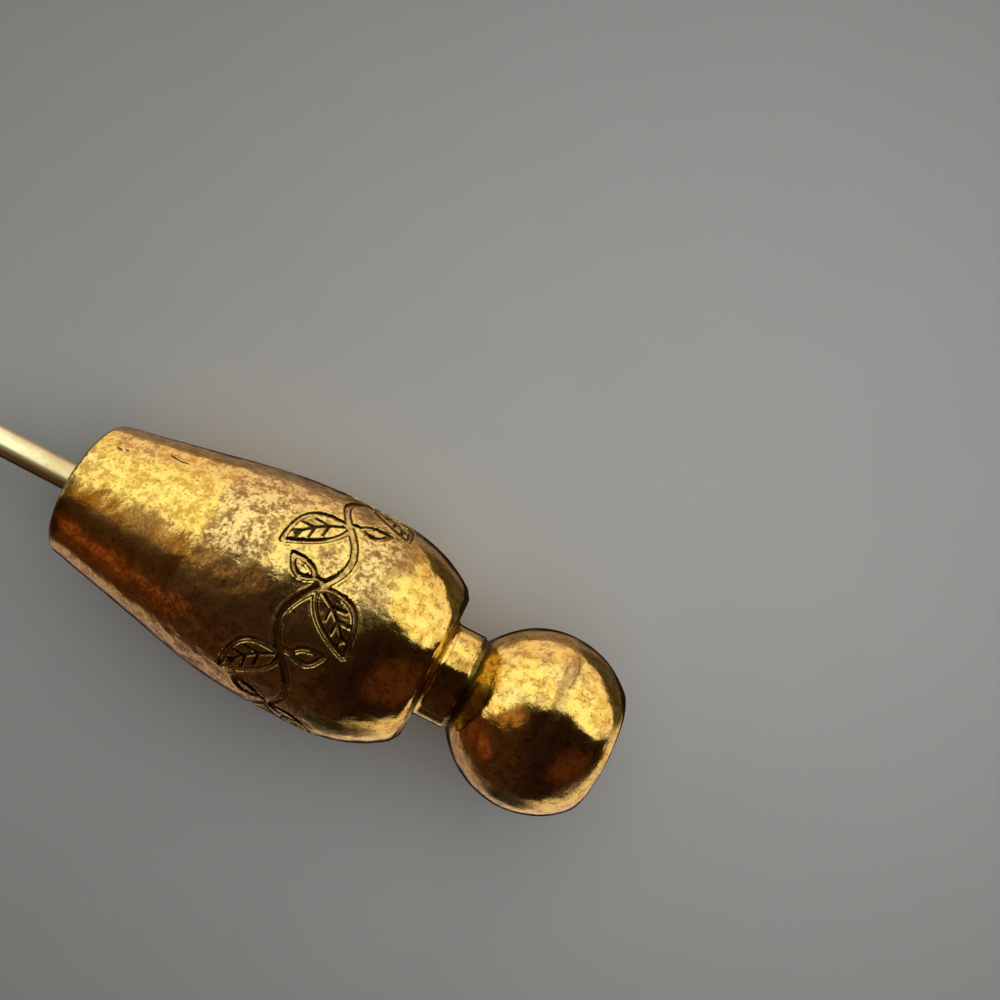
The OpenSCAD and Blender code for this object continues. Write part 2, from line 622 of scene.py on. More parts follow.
    def colour(self) -> Socket:
        """Lays the tones over each other, from the clean gold to the dirt and the painted shade.

        Returns:
            The colour.
        """
        graph, gilt = self.graph, self.gilt
        dots = graph.ramp(graph.noise(self.place, *gilt.dot_noise), *gilt.dots)
        gold = graph.blend(graph.ramp(self.mottle, *gilt.deep_gold), gilt.bright, gilt.deep)
        for share, tone in (
                (graph.product(self.tarnish, gilt.pale_share), gilt.pale),
                (graph.product(self.specks, gilt.speck_share), gilt.olive),
                (graph.product(self.net, gilt.net_share), gilt.brown),
                (graph.highest(self.crack_share(), dots), gilt.brown),
                (graph.product(self.burr, gilt.burr_share), gilt.bright),
                (graph.product(self.groove, gilt.groove_share), gilt.brown),
                # The dark tone covers the groove patina, the scratches, the dark spots at the wire end and
                # the painted shade in the corners.
                (graph.highest(self.soot_and_shade, self.scratch_share()), gilt.grime_and_shade)):
            gold = graph.blend(share, gold, tone)
        return gold

    def roughness(self) -> Socket:
        """Makes the surface duller where it is tarnished, dirty or darkened with painted shade, and on the
        face beside the neck.

        Returns:
            The roughness.
        """
        graph, gilt = self.graph, self.gilt
        rough = graph.scaled(self.tarnish, gilt.tarnish_rough, gilt.roughness)
        for share, more in ((self.specks, gilt.speck_rough), (self.net, gilt.net_rough),
                            (self.soot_and_shade, gilt.soot_and_shade_rough)):
            rough = graph.scaled(share, more, rough)
        beside_neck = graph.math("ABSOLUTE", graph.math("SUBTRACT", self.along, gilt.face))
        return graph.total(rough, graph.ramp(beside_neck, *gilt.face_rough))

    def normal(self) -> Socket:
        """Raises the mottle, the grain and a slow swell, calmer on the ball and at the wire end.

        Returns:
            The tilted normal.
        """
        graph, gilt = self.graph, self.gilt
        rugged = graph.product(graph.ramp(self.along, *gilt.smooth_ball),
                               graph.ramp(self.along, *gilt.smooth_mouth))
        swell = graph.noise(self.place, *gilt.swell_noise)
        height = graph.scaled(self.mottle, gilt.mottle_height, graph.product(self.grain, gilt.grain_height))
        height = graph.scaled(swell, gilt.swell_height, height)
        return graph.bump(graph.product(height, rugged), *gilt.relief)


@dataclass(frozen=True)
class PaleBrass:
    """Clean drawn brass wire with faint lines along it, rubbed on one side, with a dark stripe of painted
    shade along the other.
    """

    bright: Colour = (0.94, 0.94, 0.56)
    dull: Colour = (0.62, 0.47, 0.21)
    shade: Colour = (0.07, 0.035, 0.012)
    drawn: tuple[float, float, float] = (9.0, 9.0, 0.16)
    line_noise: Noise = (1.6, 3.0, 0.6)
    cloud_noise: Noise = (0.7, 4.0, 0.6)
    speck_noise: Noise = (7.0, 2.0, 0.6)
    clouds: Ramp = (0.5, 0.75, 0.0, 0.45)
    specks: Ramp = (0.62, 0.72)
    near_head: Ramp = (-3.0, 0.0, 0.0, 0.3)
    speck_share: float = 0.5
    shaded: Ramp = (0.34, 0.42)
    roughness: float = 0.3
    dull_rough: float = 0.1
    line_height: float = 0.8
    speck_height: float = -0.4
    relief: Relief = (0.35, 0.01)
    lean: Relief = (1.0, 0.33)

    def build(self, axis: PinAxis) -> bpy.types.Material:
        """Makes the material.

        Args:
            axis: The pin's axis, which the drawn lines follow.

        Returns:
            The finished material.
        """
        material, graph = ShaderGraph.start("pale_brass")
        place = graph.pin_coordinates(axis)
        drawn = graph.add("ShaderNodeMapping", {"Vector": place, "Scale": self.drawn}).outputs["Vector"]
        lines = graph.noise(drawn, *self.line_noise)
        specks = graph.ramp(graph.noise(place, *self.speck_noise), *self.specks)
        dull = graph.total(graph.ramp(graph.dot(place, UPRIGHT), *self.near_head),
                           graph.ramp(graph.noise(place, *self.cloud_noise), *self.clouds))
        aside = graph.dot(place, Vector((0.0, -1.0, 0.0)))
        colour = graph.blend(dull, self.bright, self.dull)
        colour = graph.blend(graph.product(specks, self.speck_share), colour, self.dull)
        # Painted shade: a dark stripe along one side of the wire, where it would mirror its own shadow on the
        # floor.
        colour = graph.blend(graph.ramp(aside, *self.shaded), colour, self.shade)
        height = graph.scaled(lines, self.line_height, graph.product(specks, self.speck_height))
        normal = graph.bump(height, *self.relief, Normal=graph.bump(aside, *self.lean))
        rough = graph.scaled(dull, self.dull_rough, self.roughness)
        graph.finish({"Base Color": colour, "Metallic": 1.0, "Roughness": rough, "Normal": normal})
        return material


@dataclass(frozen=True)
class Stroke:
    """One engraved line on the unrolled surface, with its points as pairs of arc length and height."""

    points: np.ndarray
    width: float
    depth: float = 1.0

    def moved(self, flipped: bool, shift: float) -> "Stroke":
        """Returns the stroke moved along the border, and upside down if asked."""
        scale = np.array([1.0, -1.0 if flipped else 1.0])
        return Stroke(self.points * scale + np.array([shift, 0.0]), self.width, self.depth)

    def distance(self, arc_place: np.ndarray, height: np.ndarray, reach: float) -> np.ndarray:
        """Measures how far each point lies from the stroke.

        Args:
            arc_place: Arc length of each point.
            height: Height of each point.
            reach: The distance past which a point isn't measured.

        Returns:
            The distance of each point, or a large number past the reach.
        """
        low, high = self.points.min(0) - reach, self.points.max(0) + reach
        near = (arc_place > low[0]) & (arc_place < high[0]) & (height > low[1]) & (height < high[1])
        result = np.full(arc_place.shape, FAR_AWAY)
        if not near.any():
            return result
        places = np.stack([arc_place[near], height[near]], 1)
        best = np.full(len(places), FAR_AWAY)
        for start, end in zip(self.points, self.points[1:]):
            run = end - start
            share = np.clip((places - start) @ run / (run @ run), 0.0, 1.0)
            best = np.minimum(best, np.linalg.norm(places - start - share[:, None] * run, axis=1))
        result[near] = best
        return result


@dataclass(frozen=True)
class Way:
    """A slightly bent line on the unrolled surface, along which a leaf or bud is drawn."""

    base: np.ndarray
    lean: float
    length: float
    bend: float
    widest: float = 0.85
    blunt: float = 0.9

    def at(self, share: np.ndarray, aside: np.ndarray) -> np.ndarray:
        """Gives points beside the line.

        Args:
            share: Share of the length at each point.
            aside: Distance aside of each point.

        Returns:
            The points.
        """
        lean = math.radians(self.lean)
        ahead = np.array([math.cos(lean), math.sin(lean)])
        across = np.array([-ahead[1], ahead[0]])
        bent = aside + self.bend * np.sin(math.pi * share)
        return self.base + np.outer(share * self.length, ahead) + np.outer(bent, across)

    def fullness(self, share: np.ndarray) -> np.ndarray:
        """Gives a leaf's width at a share of its length, as a share of its widest place."""
        return np.maximum(np.sin(math.pi * np.clip(share, 0.0, 1.0) ** self.widest), 0.0) ** self.blunt

    def edges(self, count: int, width: float, groove: float) -> list[Stroke]:
        """Draws both edges of a leaf, each with a number of points."""
        shares = np.linspace(0.0, 1.0, count)
        return [Stroke(self.at(shares, side * width / 2 * self.fullness(shares)), groove) for side in (-1, 1)]

    def middle(self, end: float, count: int, groove: float, depth: float = 1.0) -> Stroke:
        """Draws the line itself, up to a share of its length."""
        return Stroke(self.at(np.linspace(0.0, end, count), np.zeros(count)), groove, depth)


@dataclass(frozen=True)
class VineBorder:
    """The engraved border round the belly: a waving stem with a leaf and a bud in each hollow."""

    waves: int = 5
    middle: float = 8.95
    sway: float = 0.56
    stem_points: int = 61
    leaf_root: float = -0.1
    leaf_points: int = 25
    leaf_len: float = 2.3
    leaf_width: float = 1.12
    leaf_lean: float = 46.0
    leaf_bend: float = 0.2
    vein_places: tuple[float, ...] = (0.3, 0.5, 0.7)
    vein_run: float = 0.14
    vein_reach: float = 0.62
    vein_depth: float = 0.6
    rib_end: float = 0.8
    rib_points: int = 9
    rib_depth: float = 0.8
    bud_place: float = 0.955
    bud_points: int = 15
    bud_len: float = 1.0
    bud_width: float = 0.5
    bud_lean: float = 102.0
    bud_turn: float = 10.0
    bud_bend: float = -0.08
    stalk_len: float = 0.4
    stalk_points: int = 4
    stalk_bend: float = 0.05
    first_turn: float = 20.0
    stem_groove: float = 0.3
    leaf_groove: float = 0.24
    vein_groove: float = 0.15
    wall: float = 0.07
    burr: float = 0.1
    burr_crest: float = 0.02

    def cuts(self, along: np.ndarray, turn: np.ndarray, belly_r: float) -> tuple[np.ndarray, np.ndarray]:
        """Works out how deep the graver cuts at each point, and where it leaves a burr.

        Args:
            along: Distance along the axis, in millimetres.
            turn: Turn about the axis, in degrees.
            belly_r: Radius at which turns are taken as lengths, in millimetres.

        Returns:
            The groove's share and the burr's share of each point.
        """
        pitch = math.tau * belly_r / self.waves
        arc_place = (np.radians(turn - self.first_turn) * belly_r) % pitch
        height = along - self.middle
        groove, burr = np.zeros_like(along), np.zeros_like(along)
        for stroke in self.strokes(pitch):
            half = stroke.width / 2
            gap = stroke.distance(arc_place, height, half + self.burr)
            groove = np.maximum(groove, smooth_share(gap, half, half - self.wall) * stroke.depth)
            rise = smooth_share(gap, half + self.burr, half + self.burr_crest)
            burr = np.maximum(burr, rise * stroke.depth)
        return groove, burr * (1.0 - groove)

    def strokes(self, pitch: float) -> list[Stroke]:
        """Draws every line that crosses one wave of the border.

        Args:
            pitch: Length of a wave.

        Returns:
            The lines, those that reach in from the waves beside it among them.
        """
        hollow = self.leaf(pitch) + self.bud(pitch)
        stem = np.array([self.stem(u, pitch) for u in np.linspace(0.0, pitch, self.stem_points)])
        lines = [Stroke(stem, self.stem_groove)]
        for waves in (-1.0, 0.0, 1.0):
            lines += [stroke.moved(False, waves * pitch) for stroke in hollow]
        for waves in (-0.5, 0.5, 1.5):
            lines += [stroke.moved(True, waves * pitch) for stroke in hollow]
        return lines

    def stem(self, u: float, pitch: float) -> Point:
        """Gives the stem's point at an arc length."""
        return u, self.sway * math.sin(math.tau * u / pitch)

    def leaf(self, pitch: float) -> list[Stroke]:
        """Draws the leaf that grows into the hollow, with its veins.

        Args:
            pitch: Length of a wave.

        Returns:
            The leaf's lines.
        """
        base = np.array(self.stem(pitch / 2 + self.leaf_root, pitch))
        way = Way(base, self.leaf_lean, self.leaf_len, self.leaf_bend)
        lines = way.edges(self.leaf_points, self.leaf_width, self.leaf_groove)
        lines.append(way.middle(self.rib_end, self.rib_points, self.vein_groove, self.rib_depth))
        for place in self.vein_places:
            shares = np.array([place, place + self.vein_run])
            reach = self.vein_reach * self.leaf_width / 2 * way.fullness(shares)[1]
            for side in (-1, 1):
                points = way.at(shares, np.array([0.0, side * reach]))
                lines.append(Stroke(points, self.vein_groove, self.vein_depth))
        return lines

    def bud(self, pitch: float) -> list[Stroke]:
        """Draws the bud on its stalk that leans back towards the leaf.

        Args:
            pitch: Length of a wave.

        Returns:
            The bud's lines.
        """
        base = np.array(self.stem(pitch * self.bud_place, pitch))
        stalk = Way(base, self.bud_lean, self.stalk_len, self.stalk_bend)
        tip = stalk.at(np.array([1.0]), np.array([0.0]))[0]
        way = Way(tip, self.bud_lean + self.bud_turn, self.bud_len, self.bud_bend)
        lines = way.edges(self.bud_points, self.bud_width, self.leaf_groove)
        return [*lines, stalk.middle(1.0, self.stalk_points, self.leaf_groove)]


@dataclass
class TurnedHead:
    """The turned head: barrel, neck and ball in one piece. Sizes are in millimetres."""

    axis: PinAxis
    barrel_len: float = 13.4
    mouth_r: float = 2.43
    mouth_edge_r: float = 0.26
    mouth_face_r: float = 1.458
    flank_r: float = 15.2
    belly_len: float = 1.8
    shoulder_len: float = 3.2
    face_r: float = 2.92
    bevel_len: float = 0.22
    bevel_w: float = 0.32
    neck_r: float = 1.73
    neck_len: float = 1.3
    neck_fillet: float = 0.12
    neck_line: float = 0.07
    neck_line_places: tuple[float, float, float] = (0.2, 0.12, 0.06)
    ball_r: float = 3.19
    ball_cut: float = 0.73
    ball_edge_r: float = 0.9
    ball_foot: float = 0.03
    ball_centre_r: float = 0.25
    hole_len: float = 5.2
    hole_clear: float = 0.02
    hole_taper: float = 0.08
    hole_edge: float = 0.06
    fine_stretch: Stretch = (7.0, 10.9)
    fine_step: float = 0.05
    bevel_step: float = 0.12
    neck_step: float = 0.14
    edge_step: float = 0.13
    coarse_step: float = 0.22
    flat_step: float = 0.35
    hole_step: float = 1.6
    turns: int = 500
    smooth_deg: float = 50.0
    groove_depth: float = 0.1
    burr_height: float = 0.016
    outside_r: float = 1.0
    uneven: float = 0.035
    uneven_reach: Stretch = (0.9, 1.5)
    uneven_fade: float = 0.5
    ground_scale: float = 1.5
    hammer_scale: float = 1.0
    hammer_share: float = 0.8
    border: VineBorder = field(default_factory=VineBorder)

    @property
    def belly_r(self) -> float:
        """The belly's radius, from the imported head."""
        low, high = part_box("head")
        return (high.y - low.y) / 2 / MM

    def build(self) -> bpy.types.Object:
        """Turns the head, engraves and wears it, and lays it in its place.

        Returns:
            The head's object.
        """
        head = self.turn_blank()
        self.wear(head)
        self.engrave(head)
        self.axis.lay_down(head, self.smooth_deg)
        return head

    def outline(self) -> Outline:
        """Gives the outline's points, from the floor of the hole round to the flat end.

        Returns:
            Pairs of distance from the axis and distance along it.
        """
        mouth = self.axis.wire_r + self.hole_clear
        points = [(0.0, self.hole_len), (mouth - self.hole_taper, self.hole_len)]
        points += line(points[-1], (mouth, self.hole_edge), self.hole_step)
        points.append((mouth + self.hole_edge, 0.0))
        return points + self.flank_points() + self.shoulder_points() + self.neck_points() + self.ball_points()

    def flank_points(self) -> Outline:
        """Gives the flank's outline, from the face of the wire end to the end of the belly.

        Returns:
            Pairs of distance from the axis and distance along it.
        """
        belly_to = self.barrel_len - self.shoulder_len
        centre = (self.belly_r - self.flank_r, belly_to - self.belly_len)
        run, rise = centre[1], centre[0] - self.mouth_r
        reach = math.hypot(run, rise)
        lean = math.atan2(rise, run) + math.asin(self.flank_r / reach)
        tangent = math.sqrt(reach * reach - self.flank_r * self.flank_r)
        flank_end = (self.mouth_r + tangent * math.sin(lean), tangent * math.cos(lean))
        edge = self.mouth_edge_r
        edge_centre = (self.mouth_r - edge / math.cos(lean) + edge * math.tan(lean), edge)
        start = math.atan2(flank_end[1] - centre[1], flank_end[0] - centre[0])
        points = [(self.mouth_face_r, 0.0)]
        points += arc(edge_centre, edge, -math.pi / 2, -lean, self.fine_step)
        points += line(points[-1], flank_end, self.coarse_step)
        points += arc(centre, self.flank_r, start, 0.0, self.coarse_step)
        points += line(points[-1], (self.belly_r, belly_to), self.coarse_step)
        return points

    def shoulder_points(self) -> Outline:
        """Gives the shoulder's outline, from the belly to the foot of its bevel.

        Returns:
            Pairs of distance from the axis and distance along it.
        """
        belly_to = self.barrel_len - self.shoulder_len
        rise, run = self.belly_r - self.face_r, self.shoulder_len - self.bevel_len
        radius = (run * run + rise * rise) / (2 * rise)
        centre = (self.belly_r - radius, belly_to)
        points = arc(centre, radius, 0.0, math.asin(run / radius), self.coarse_step)
        points += line(points[-1], (self.face_r - self.bevel_w, self.barrel_len), self.bevel_step)
        return points

    def neck_points(self) -> Outline:
        """Gives the neck's outline, with the fine turned line at the foot of the ball.

        Returns:
            Pairs of distance from the axis and distance along it.
        """
        neck_to = self.barrel_len + self.neck_len
        before, start, end = (neck_to - place for place in self.neck_line_places)
        points = [(self.neck_r + self.neck_fillet, self.barrel_len),
                  (self.neck_r, self.barrel_len + self.neck_fillet)]
        points += line(points[-1], (self.neck_r, before), self.neck_step)
        points += [(self.neck_r - self.neck_line, start), (self.neck_r - self.neck_line, end)]
        return points

    def ball_points(self) -> Outline:
        """Gives the ball's outline, from the neck to the middle of the flat end.

        Returns:
            Pairs of distance from the axis and distance along it.
        """
        middle = self.barrel_len + self.neck_len + math.sqrt(self.ball_r ** 2 - self.neck_r ** 2)
        rise = self.ball_r - self.ball_cut - self.ball_edge_r
        edge_x = math.sqrt((self.ball_r - self.ball_edge_r) ** 2 - rise * rise)
        start = self.ball_foot - math.acos(self.neck_r / self.ball_r)
        end = math.atan2(rise, edge_x)
        points = arc((0.0, middle), self.ball_r, start, end, self.coarse_step)
        points += arc((edge_x, middle + rise), self.ball_edge_r, end, math.pi / 2, self.edge_step)
        points += line(points[-1], (self.ball_centre_r, points[-1][1]), self.flat_step)
        points.append((0.0, points[-1][1]))
        return points

    def turn_blank(self) -> bpy.types.Object:
        """Extrudes one point along the outline and spins the line about the axis.

        Returns:
            The smooth head, upright and in millimetres.
        """
        clear_selection()
        bpy.ops.mesh.primitive_plane_add(size=1.0)
        head = bpy.context.active_object
        head.name = head.data.name = "turned_head"
        bpy.ops.object.mode_set(mode="EDIT")
        bpy.ops.mesh.select_all(action="SELECT")
        bpy.ops.mesh.merge(type="CENTER")
        points = refine(self.outline(), *self.fine_stretch, self.fine_step)
        bpy.ops.transform.translate(value=(points[0][0], 0.0, points[0][1]))
        for (r0, z0), (r1, z1) in zip(points, points[1:]):
            bpy.ops.mesh.extrude_region_move(TRANSFORM_OT_translate={"value": (r1 - r0, 0.0, z1 - z0)})
        bpy.ops.mesh.select_all(action="SELECT")
        bpy.ops.mesh.spin(steps=self.turns, angle=math.tau, center=(0.0, 0.0, 0.0), axis=UPRIGHT)
        bpy.ops.mesh.select_all(action="SELECT")
        bpy.ops.mesh.remove_doubles(threshold=SAME_PLACE)
        bpy.ops.mesh.normals_make_consistent(inside=False)
        bpy.ops.object.mode_set(mode="OBJECT")
        return head

    def wear(self, head: bpy.types.Object) -> None:
        """Makes the turned surface slightly uneven, only inwards, as years of handling leave it.

        Args:
            head: The upright head.
        """
        along, _, reach = surface_places(head)
        ball_from = self.barrel_len + self.neck_len
        outside = smooth_share(reach, *self.uneven_reach) * smooth_share(along, 0.0, self.uneven_fade)
        ball = smooth_share(along, ball_from, ball_from + self.uneven_fade)
        self.press(head, "uneven_ground", outside, self.uneven, "CLOUDS", self.ground_scale)
        self.press(head, "hammered_ball", ball, self.uneven * self.hammer_share, "VORONOI",
                   self.hammer_scale)

    def press(self, head: bpy.types.Object, name: str, share: np.ndarray, depth: float,
              pattern: str, scale: float) -> None:
        """Presses a pattern into the surface, up to a depth.

        Args:
            head: The upright head.
            name: Name of the pattern.
            share: How much of it each point takes.
            depth: The deepest point, in millimetres.
            pattern: The kind of procedural texture.
            scale: Its size, in millimetres.
        """
        texture = bpy.data.textures.new(name, type=pattern)
        texture.noise_scale = scale
        displace(head, name, share, strength=depth, mid_level=1.0, texture=texture, texture_coords="LOCAL")

    def engrave(self, head: bpy.types.Object) -> None:
        """Cuts the border, and keeps the shares of its grooves and burrs for the finish.

        Args:
            head: The upright head.
        """
        along, turn, reach = surface_places(head)
        groove, burr = self.border.cuts(along, turn, self.belly_r)
        outside = reach > self.outside_r
        for cut, share, depth in ((Cut.GROOVE, groove * outside, -self.groove_depth),
                                  (Cut.BURR, burr * outside, self.burr_height)):
            displace(head, cut.value + "_points", share, strength=depth, mid_level=0.0)
            kept = head.data.attributes.new(cut.value, "FLOAT", "POINT")
            kept.data.foreach_set("value", share.astype(np.float32))


def line(start: Point, end: Point, step: float) -> Outline:
    """Gives points along a straight stretch, without its start.

    Args:
        start: Where it begins.
        end: Where it ends.
        step: The longest gap between points.

    Returns:
        The points, the end among them.
    """
    count = max(1, math.ceil(math.dist(start, end) / step))
    return [tuple(np.interp(k / count, (0, 1), pair) for pair in zip(start, end))
            for k in range(1, count + 1)]


def arc(centre: Point, radius: float, start: float, end: float, step: float) -> Outline:
    """Gives points along a round stretch, both ends among them.

    Args:
        centre: The arc's centre.
        radius: Its radius.
        start: Angle of its first point, in radians from the outward direction.
        end: Angle of its last point.
        step: The longest gap between points.

    Returns:
        The points.
    """
    count = max(2, math.ceil(abs(end - start) * radius / step))
    angles = [start + (end - start) * k / count for k in range(count + 1)]
    return [(centre[0] + radius * math.cos(a), centre[1] + radius * math.sin(a)) for a in angles]


def refine(points: Outline, start: float, end: float, step: float) -> Outline:
    """Drops repeated points and adds more between start and end along the axis.

    Args:
        points: The outline.
        start: Where the fine stretch begins.
        end: Where it ends.
        step: The longest gap between points there.

    Returns:
        The outline with its fine stretch.
    """
    result = [points[0]]
    for point in points[1:]:
        last = result[-1]
        if math.dist(last, point) < SAME_PLACE:
            continue
        fine = start <= min(last[1], point[1]) and max(last[1], point[1]) <= end
        result += line(last, point, step) if fine else [point]
    return result


def surface_places(piece: bpy.types.Object) -> tuple[np.ndarray, np.ndarray, np.ndarray]:
    """Reads where an upright piece's points lie.

    Args:
        piece: The upright piece.

    Returns:
        Distance along the axis, turn in degrees and distance from the axis of each point.
    """
    count = len(piece.data.vertices)
    place = np.empty(count * 3, np.float32)
    piece.data.vertices.foreach_get("co", place)
    x, y, along = place.reshape(count, 3).T.astype(float)
    return along, np.degrees(np.arctan2(-y, -x)), np.hypot(x, y)


def displace(piece: bpy.types.Object, name: str, share: np.ndarray, **settings: object) -> None:
    """Moves the surface in or out, by a share for each point.

    Args:
        piece: The piece.
        name: The name of the vertex group that keeps the shares.
        share: The share of each point.
        settings: The Displace modifier's own properties.
    """
    group = piece.vertex_groups.new(name=name)
    for index in np.flatnonzero(share > LEAST_SHARE):
        group.add([int(index)], float(share[index]), "REPLACE")
    modifier = piece.modifiers.new(name, "DISPLACE")
    modifier.vertex_group = group.name
    for setting, value in settings.items():
        setattr(modifier, setting, value)
    bpy.context.view_layer.objects.active = piece
    bpy.ops.object.modifier_apply(modifier=modifier.name)


@dataclass
class PinWire:
    """The straight pin wire, with its tapered seat in the head and its point. Sizes are in millimetres."""

    axis: PinAxis
    out_len: float = 55.0
    seat_len: float = 5.0
    seat_taper: float = 0.08
    point_len: float = 5.0
    point_steps: int = 6
    tip_r: float = 0.06
    tip_turns_deg: tuple[float, ...] = (30.0, 60.0, 85.0)
    sides: int = 96
    end_gap: float = 0.01
    end_facing: float = 0.5
    smooth_deg: float = 35.0

    def build(self) -> bpy.types.Object:
        """Shapes the wire and lays it in its place.

        Returns:
            The wire's object.
        """
        wire_r = self.axis.wire_r
        shaft = self.out_len - self.point_len
        clear_selection()
        bpy.ops.mesh.primitive_cylinder_add(
            vertices=self.sides, radius=wire_r, depth=shaft, location=(0.0, 0.0, -shaft / 2))
        wire = bpy.context.active_object
        wire.name = wire.data.name = "pin_shaft"
        bpy.ops.object.transform_apply(location=True, rotation=True, scale=True)
        self.extrude_end(wire, 0.0, [(self.seat_len, wire_r - self.seat_taper)])
        self.extrude_end(wire, -shaft, self.point_stations())
        self.axis.lay_down(wire, self.smooth_deg)
        return wire

    def point_stations(self) -> Outline:
        """Gives the stations of the point and its rounded tip.

        Returns:
            Pairs of a distance along the axis from the shaft's end, below 0, and a radius.
        """
        wire_r, cone_len = self.axis.wire_r, self.point_len - self.tip_r
        shares = [k / self.point_steps for k in range(1, self.point_steps + 1)]
        stations = [(-cone_len * share, wire_r + (self.tip_r - wire_r) * share) for share in shares]
        stations += [(-cone_len - self.tip_r * math.sin(a), self.tip_r * math.cos(a))
                     for a in np.radians(self.tip_turns_deg)]
        return stations

    def extrude_end(self, wire: bpy.types.Object, along: float, stations: Outline) -> None:
        """Extrudes the shaft's flat end, from station to station.

        Args:
            wire: The upright wire.
            along: Where the flat end lies.
            stations: Pairs of a distance from there and the radius that the wire has there.
        """
        mesh = wire.data
        for part in (*mesh.vertices, *mesh.edges):
            part.select = False
        for polygon in mesh.polygons:
            level = abs(polygon.center.z - along) < self.end_gap
            polygon.select = level and abs(polygon.normal.z) > self.end_facing
            for index in polygon.vertices if polygon.select else ():
                mesh.vertices[index].select = True
        bpy.ops.object.mode_set(mode="EDIT")
        bpy.ops.mesh.select_mode(type="FACE")
        last_place, last_r = 0.0, self.axis.wire_r
        for place, radius in stations:
            move, share = (0.0, 0.0, place - last_place), radius / last_r
            bpy.ops.mesh.extrude_region_move(TRANSFORM_OT_translate={"value": move})
            bpy.ops.transform.resize(value=(share, share, 1.0), center_override=(0.0, 0.0, along + place))
            last_place, last_r = place, radius
        bpy.ops.object.mode_set(mode="OBJECT")


@dataclass
class PhotoCamera:
    """The photograph's view of the pin, worked out from the place and the lean of its axis in the picture."""

    axis: PinAxis
    focal_px: float = 1050.0
    frame_px: float = 1000.0
    wire_end_px: Point = (90.6, 487.6)
    lean_deg: float = 27.54
    mm_per_px: float = 0.0345
    sensor_mm: float = 36.0
    nearest: float = 0.001
    farthest: float = 10.0

    def basis(self) -> tuple[Vector, Vector, Vector]:
        """Works out how the picture lies: the camera looks square to the axis, from above.

        Returns:
            The picture's right and up directions, and the direction towards the camera.
        """
        along = self.axis.direction
        towards = along.cross(Vector((0.0, 1.0, 0.0))).normalized()
        across = towards.cross(along)
        lean = math.radians(self.lean_deg)
        right = along * math.cos(lean) + across * math.sin(lean)
        up = across * math.cos(lean) - along * math.sin(lean)
        return right, up, towards

    def spot(self, pixel: Point) -> Vector:
        """Gives the point that a pixel shows, on the plane through the axis that faces the camera.

        Args:
            pixel: The pixel, from the picture's upper left corner.

        Returns:
            The point, in metres.
        """
        right, up, _ = self.basis()
        step = self.mm_per_px * MM
        start_x, start_y = self.wire_end_px
        return self.axis.origin + right * (pixel[0] - start_x) * step + up * (start_y - pixel[1]) * step

    def build(self) -> bpy.types.Object:
        """Adds the camera and makes it the scene's.

        Returns:
            The camera's object.
        """
        right, up, towards = self.basis()
        middle = self.frame_px / 2
        place = self.spot((middle, middle)) + towards * self.focal_px * self.mm_per_px * MM
        data = bpy.data.cameras.new("photo_camera")
        data.sensor_width = self.sensor_mm
        data.lens = self.focal_px / self.frame_px * self.sensor_mm
        data.clip_start = self.nearest
        data.clip_end = self.farthest
        camera = bpy.data.objects.new("photo_camera", data)
        bpy.context.scene.collection.objects.link(camera)
        turn = Matrix((right, up, towards)).transposed()
        camera.matrix_world = Matrix.Translation(place) @ turn.to_4x4()
        bpy.context.scene.camera = camera
        return camera


@dataclass(frozen=True)
class Glow:
    """A weak, warm patch of the surroundings, by its place in the picture around the pin."""

    around_deg: float
    from_view_deg: float
    spread_deg: float
    colour: Colour


